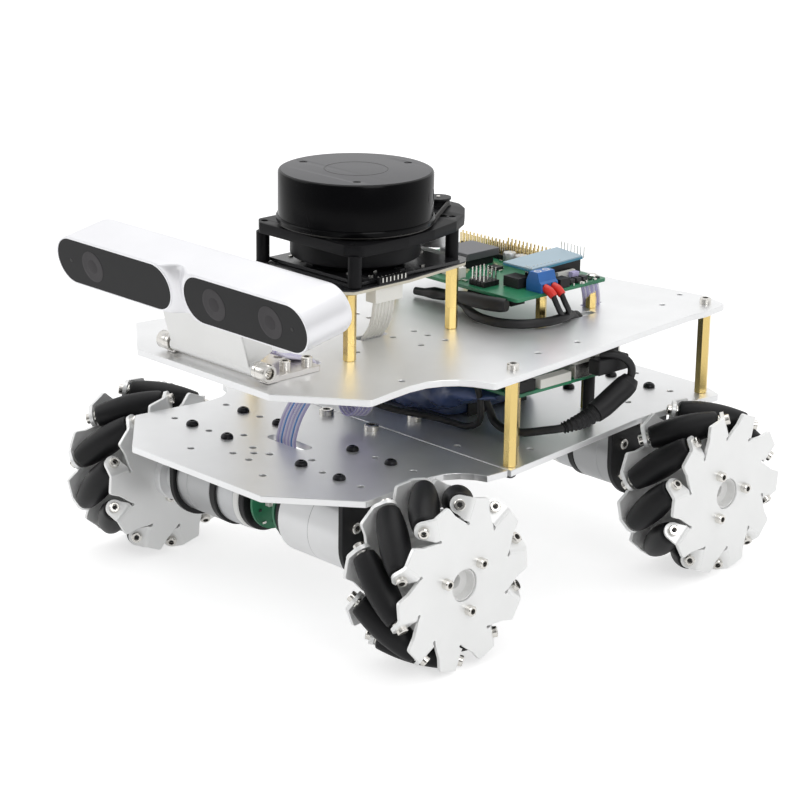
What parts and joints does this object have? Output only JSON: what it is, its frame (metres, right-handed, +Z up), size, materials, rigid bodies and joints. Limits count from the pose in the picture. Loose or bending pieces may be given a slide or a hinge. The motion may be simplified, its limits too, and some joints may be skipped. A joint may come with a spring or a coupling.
{
  "type": "mecanum robot",
  "caption": "Two-deck aluminium robot base on mecanum wheels with gear motors, a rocking front axle, a spinning lidar and a tilting depth camera.",
  "frame": {"origin": "middle of the whole robot's box, on the floor that the wheels stand on", "axes": "+X to the robot's left along the wheel axles, +Y to its rear (the cameras look towards -Y), +Z up"},
  "size_m": [0.2368, 0.2816, 0.1959],
  "materials": {
    "sandblasted_aluminium": "fine sandblasted and anodised",
    "wheel_sheet": "satin silver-white",
    "motor_steel": "satin nickel plate",
    "roller_rubber": "matte moulded",
    "black_plate": "matte laminate",
    "black_frame": "fine moulded grain",
    "black_gloss": "polished",
    "white_bracket": "satin powder coat",
    "camera_silver": "satin silver-white",
    "board_green": "solder mask",
    "blue_wrap": "shrink film",
    "black_cable": "satin jacket"
  },
  "bodies": {
    "chassis": {"rear_lower_plate": "sandblasted_aluminium", "upper_plate": "sandblasted_aluminium", "gear_motor_rl": "motor_steel", "gear_motor_rr": "motor_steel", "battery_pack": "blue_wrap", "computer_board": "board_green", "power_cable": "black_cable", "controller_board": "board_green", "lidar_deck": "black_plate", "lidar_base": "black_frame", "camera_stand": "white_bracket"},
    "front_axle": {"front_lower_plate": "sandblasted_aluminium", "gear_motor_fl": "motor_steel", "gear_motor_fr": "motor_steel"},
    "lidar_rotor": {"lidar_head": "black_gloss"},
    "camera_head": {"depth_camera": "camera_silver"},
    "wheel_fl": {"wheel_hub_fl": "wheel_sheet"},
    "wheel_fr": {"wheel_hub_fr": "wheel_sheet"},
    "wheel_rl": {"wheel_hub_rl": "wheel_sheet"},
    "wheel_rr": {"wheel_hub_rr": "wheel_sheet"},
    "roller_fl_01": {"roller_fl_01": "roller_rubber"},
    "roller_fl_02": {"roller_fl_02": "roller_rubber"},
    "roller_fl_03": {"roller_fl_03": "roller_rubber"},
    "roller_fl_04": {"roller_fl_04": "roller_rubber"},
    "roller_fl_05": {"roller_fl_05": "roller_rubber"},
    "roller_fl_06": {"roller_fl_06": "roller_rubber"},
    "roller_fl_07": {"roller_fl_07": "roller_rubber"},
    "roller_fl_08": {"roller_fl_08": "roller_rubber"},
    "roller_fl_09": {"roller_fl_09": "roller_rubber"},
    "roller_fl_10": {"roller_fl_10": "roller_rubber"},
    "roller_fr_01": {"roller_fr_01": "roller_rubber"},
    "roller_fr_02": {"roller_fr_02": "roller_rubber"},
    "roller_fr_03": {"roller_fr_03": "roller_rubber"},
    "roller_fr_04": {"roller_fr_04": "roller_rubber"},
    "roller_fr_05": {"roller_fr_05": "roller_rubber"},
    "roller_fr_06": {"roller_fr_06": "roller_rubber"},
    "roller_fr_07": {"roller_fr_07": "roller_rubber"},
    "roller_fr_08": {"roller_fr_08": "roller_rubber"},
    "roller_fr_09": {"roller_fr_09": "roller_rubber"},
    "roller_fr_10": {"roller_fr_10": "roller_rubber"},
    "roller_rl_01": {"roller_rl_01": "roller_rubber"},
    "roller_rl_02": {"roller_rl_02": "roller_rubber"},
    "roller_rl_03": {"roller_rl_03": "roller_rubber"},
    "roller_rl_04": {"roller_rl_04": "roller_rubber"},
    "roller_rl_05": {"roller_rl_05": "roller_rubber"},
    "roller_rl_06": {"roller_rl_06": "roller_rubber"},
    "roller_rl_07": {"roller_rl_07": "roller_rubber"},
    "roller_rl_08": {"roller_rl_08": "roller_rubber"},
    "roller_rl_09": {"roller_rl_09": "roller_rubber"},
    "roller_rl_10": {"roller_rl_10": "roller_rubber"},
    "roller_rr_01": {"roller_rr_01": "roller_rubber"},
    "roller_rr_02": {"roller_rr_02": "roller_rubber"},
    "roller_rr_03": {"roller_rr_03": "roller_rubber"},
    "roller_rr_04": {"roller_rr_04": "roller_rubber"},
    "roller_rr_05": {"roller_rr_05": "roller_rubber"},
    "roller_rr_06": {"roller_rr_06": "roller_rubber"},
    "roller_rr_07": {"roller_rr_07": "roller_rubber"},
    "roller_rr_08": {"roller_rr_08": "roller_rubber"},
    "roller_rr_09": {"roller_rr_09": "roller_rubber"},
    "roller_rr_10": {"roller_rr_10": "roller_rubber"}
  },
  "joints": [
    {"name": "wheel_fl_spin", "type": "hinge", "parent": "front_axle", "child": "wheel_fl", "pos_m": [0.098, -0.07586, 0.04], "axis": [1, 0, 0], "continuous": true},
    {"name": "wheel_fr_spin", "type": "hinge", "parent": "front_axle", "child": "wheel_fr", "pos_m": [-0.098, -0.07586, 0.04], "axis": [1, 0, 0], "continuous": true},
    {"name": "wheel_rl_spin", "type": "hinge", "parent": "chassis", "child": "wheel_rl", "pos_m": [0.098, 0.09954, 0.04], "axis": [1, 0, 0], "continuous": true},
    {"name": "wheel_rr_spin", "type": "hinge", "parent": "chassis", "child": "wheel_rr", "pos_m": [-0.098, 0.09954, 0.04], "axis": [1, 0, 0], "continuous": true},
    {"name": "front_axle_rock", "type": "hinge", "parent": "chassis", "child": "front_axle", "pos_m": [0, -0.03716, 0.0615], "axis": [0, 1, 0], "range_deg": [-6, 6]},
    {"name": "camera_tilt", "type": "hinge", "parent": "chassis", "child": "camera_head", "pos_m": [0, -0.11716, 0.1242], "axis": [1, 0, 0], "range_deg": [-35, 15]},
    {"name": "lidar_spin", "type": "hinge", "parent": "chassis", "child": "lidar_rotor", "pos_m": [0, -0.03416, 0.1716], "axis": [0, 0, 1], "continuous": true},
    {"name": "roller_fl_01_spin", "type": "hinge", "parent": "wheel_fl", "child": "roller_fl_01", "pos_m": [0.098, -0.0636, 0.07064], "axis": [0.7071, -0.6565, 0.2626], "continuous": true},
    {"name": "roller_fl_02_spin", "type": "hinge", "parent": "wheel_fl", "child": "roller_fl_02", "pos_m": [0.098, -0.04794, 0.05758], "axis": [0.7071, -0.3768, 0.5983], "continuous": true},
    {"name": "roller_fl_03_spin", "type": "hinge", "parent": "wheel_fl", "child": "roller_fl_03", "pos_m": [0.098, -0.04293, 0.03781], "axis": [0.7071, 0.0469, 0.7056], "continuous": true},
    {"name": "roller_fl_04_spin", "type": "hinge", "parent": "wheel_fl", "child": "roller_fl_04", "pos_m": [0.098, -0.05051, 0.01888], "axis": [0.7071, 0.4526, 0.5433], "continuous": true},
    {"name": "roller_fl_05_spin", "type": "hinge", "parent": "wheel_fl", "child": "roller_fl_05", "pos_m": [0.098, -0.06777, 0.00801], "axis": [0.7071, 0.6855, 0.1735], "continuous": true},
    {"name": "roller_fl_06_spin", "type": "hinge", "parent": "wheel_fl", "child": "roller_fl_06", "pos_m": [0.098, -0.08811, 0.00936], "axis": [0.7071, 0.6565, -0.2626], "continuous": true},
    {"name": "roller_fl_07_spin", "type": "hinge", "parent": "wheel_fl", "child": "roller_fl_07", "pos_m": [0.098, -0.10378, 0.02242], "axis": [0.7071, 0.3768, -0.5983], "continuous": true},
    {"name": "roller_fl_08_spin", "type": "hinge", "parent": "wheel_fl", "child": "roller_fl_08", "pos_m": [0.098, -0.10879, 0.04219], "axis": [0.7071, -0.0469, -0.7056], "continuous": true},
    {"name": "roller_fl_09_spin", "type": "hinge", "parent": "wheel_fl", "child": "roller_fl_09", "pos_m": [0.098, -0.10121, 0.06112], "axis": [0.7071, -0.4526, -0.5433], "continuous": true},
    {"name": "roller_fl_10_spin", "type": "hinge", "parent": "wheel_fl", "child": "roller_fl_10", "pos_m": [0.098, -0.08396, 0.07199], "axis": [0.7071, -0.6855, -0.1735], "continuous": true},
    {"name": "roller_fr_01_spin", "type": "hinge", "parent": "wheel_fr", "child": "roller_fr_01", "pos_m": [-0.098, -0.06844, 0.07215], "axis": [-0.7071, -0.689, 0.1591], "continuous": true},
    {"name": "roller_fr_02_spin", "type": "hinge", "parent": "wheel_fr", "child": "roller_fr_02", "pos_m": [-0.098, -0.05096, 0.06165], "axis": [-0.7071, -0.4639, 0.5337], "continuous": true},
    {"name": "roller_fr_03_spin", "type": "hinge", "parent": "wheel_fr", "child": "roller_fr_03", "pos_m": [-0.098, -0.04299, 0.04288], "axis": [-0.7071, -0.0616, 0.7044], "continuous": true},
    {"name": "roller_fr_04_spin", "type": "hinge", "parent": "wheel_fr", "child": "roller_fr_04", "pos_m": [-0.098, -0.04757, 0.023], "axis": [-0.7071, 0.3642, 0.6061], "continuous": true},
    {"name": "roller_fr_05_spin", "type": "hinge", "parent": "wheel_fr", "child": "roller_fr_05", "pos_m": [-0.098, -0.06297, 0.00962], "axis": [-0.7071, 0.6509, 0.2763], "continuous": true},
    {"name": "roller_fr_06_spin", "type": "hinge", "parent": "wheel_fr", "child": "roller_fr_06", "pos_m": [-0.098, -0.08328, 0.00785], "axis": [-0.7071, 0.689, -0.1591], "continuous": true},
    {"name": "roller_fr_07_spin", "type": "hinge", "parent": "wheel_fr", "child": "roller_fr_07", "pos_m": [-0.098, -0.10076, 0.01835], "axis": [-0.7071, 0.4639, -0.5337], "continuous": true},
    {"name": "roller_fr_08_spin", "type": "hinge", "parent": "wheel_fr", "child": "roller_fr_08", "pos_m": [-0.098, -0.10873, 0.03712], "axis": [-0.7071, 0.0616, -0.7044], "continuous": true},
    {"name": "roller_fr_09_spin", "type": "hinge", "parent": "wheel_fr", "child": "roller_fr_09", "pos_m": [-0.098, -0.10415, 0.057], "axis": [-0.7071, -0.3642, -0.6061], "continuous": true},
    {"name": "roller_fr_10_spin", "type": "hinge", "parent": "wheel_fr", "child": "roller_fr_10", "pos_m": [-0.098, -0.08875, 0.07038], "axis": [-0.7071, -0.6509, -0.2763], "continuous": true},
    {"name": "roller_rl_01_spin", "type": "hinge", "parent": "wheel_rl", "child": "roller_rl_01", "pos_m": [0.098, 0.08665, 0.07038], "axis": [0.7071, 0.6509, 0.2763], "continuous": true},
    {"name": "roller_rl_02_spin", "type": "hinge", "parent": "wheel_rl", "child": "roller_rl_02", "pos_m": [0.098, 0.07125, 0.057], "axis": [0.7071, 0.3642, 0.6061], "continuous": true},
    {"name": "roller_rl_03_spin", "type": "hinge", "parent": "wheel_rl", "child": "roller_rl_03", "pos_m": [0.098, 0.06667, 0.03712], "axis": [0.7071, -0.0616, 0.7044], "continuous": true},
    {"name": "roller_rl_04_spin", "type": "hinge", "parent": "wheel_rl", "child": "roller_rl_04", "pos_m": [0.098, 0.07464, 0.01835], "axis": [0.7071, -0.4639, 0.5337], "continuous": true},
    {"name": "roller_rl_05_spin", "type": "hinge", "parent": "wheel_rl", "child": "roller_rl_05", "pos_m": [0.098, 0.09212, 0.00785], "axis": [0.7071, -0.689, 0.1591], "continuous": true},
    {"name": "roller_rl_06_spin", "type": "hinge", "parent": "wheel_rl", "child": "roller_rl_06", "pos_m": [0.098, 0.11243, 0.00962], "axis": [0.7071, -0.6509, -0.2763], "continuous": true},
    {"name": "roller_rl_07_spin", "type": "hinge", "parent": "wheel_rl", "child": "roller_rl_07", "pos_m": [0.098, 0.12783, 0.023], "axis": [0.7071, -0.3642, -0.6061], "continuous": true},
    {"name": "roller_rl_08_spin", "type": "hinge", "parent": "wheel_rl", "child": "roller_rl_08", "pos_m": [0.098, 0.13241, 0.04288], "axis": [0.7071, 0.0616, -0.7044], "continuous": true},
    {"name": "roller_rl_09_spin", "type": "hinge", "parent": "wheel_rl", "child": "roller_rl_09", "pos_m": [0.098, 0.12445, 0.06165], "axis": [0.7071, 0.4639, -0.5337], "continuous": true},
    {"name": "roller_rl_10_spin", "type": "hinge", "parent": "wheel_rl", "child": "roller_rl_10", "pos_m": [0.098, 0.10696, 0.07215], "axis": [0.7071, 0.689, -0.1591], "continuous": true},
    {"name": "roller_rr_01_spin", "type": "hinge", "parent": "wheel_rr", "child": "roller_rr_01", "pos_m": [-0.098, 0.08825, 0.07101], "axis": [-0.7071, 0.6645, 0.2418], "continuous": true},
    {"name": "roller_rr_02_spin", "type": "hinge", "parent": "wheel_rr", "child": "roller_rr_02", "pos_m": [-0.098, 0.07218, 0.05845], "axis": [-0.7071, 0.3954, 0.5862], "continuous": true},
    {"name": "roller_rr_03_spin", "type": "hinge", "parent": "wheel_rr", "child": "roller_rr_03", "pos_m": [-0.098, 0.06656, 0.03885], "axis": [-0.7071, -0.0247, 0.7067], "continuous": true},
    {"name": "roller_rr_04_spin", "type": "hinge", "parent": "wheel_rr", "child": "roller_rr_04", "pos_m": [-0.098, 0.07354, 0.01968], "axis": [-0.7071, -0.4353, 0.5572], "continuous": true},
    {"name": "roller_rr_05_spin", "type": "hinge", "parent": "wheel_rr", "child": "roller_rr_05", "pos_m": [-0.098, 0.09044, 0.00828], "axis": [-0.7071, -0.6797, 0.1949], "continuous": true},
    {"name": "roller_rr_06_spin", "type": "hinge", "parent": "wheel_rr", "child": "roller_rr_06", "pos_m": [-0.098, 0.11083, 0.00899], "axis": [-0.7071, -0.6645, -0.2418], "continuous": true},
    {"name": "roller_rr_07_spin", "type": "hinge", "parent": "wheel_rr", "child": "roller_rr_07", "pos_m": [-0.098, 0.1269, 0.02155], "axis": [-0.7071, -0.3954, -0.5862], "continuous": true},
    {"name": "roller_rr_08_spin", "type": "hinge", "parent": "wheel_rr", "child": "roller_rr_08", "pos_m": [-0.098, 0.13252, 0.04115], "axis": [-0.7071, 0.0247, -0.7067], "continuous": true},
    {"name": "roller_rr_09_spin", "type": "hinge", "parent": "wheel_rr", "child": "roller_rr_09", "pos_m": [-0.098, 0.12554, 0.06032], "axis": [-0.7071, 0.4353, -0.5572], "continuous": true},
    {"name": "roller_rr_10_spin", "type": "hinge", "parent": "wheel_rr", "child": "roller_rr_10", "pos_m": [-0.098, 0.10864, 0.07172], "axis": [-0.7071, 0.6797, -0.1949], "continuous": true}
  ]
}
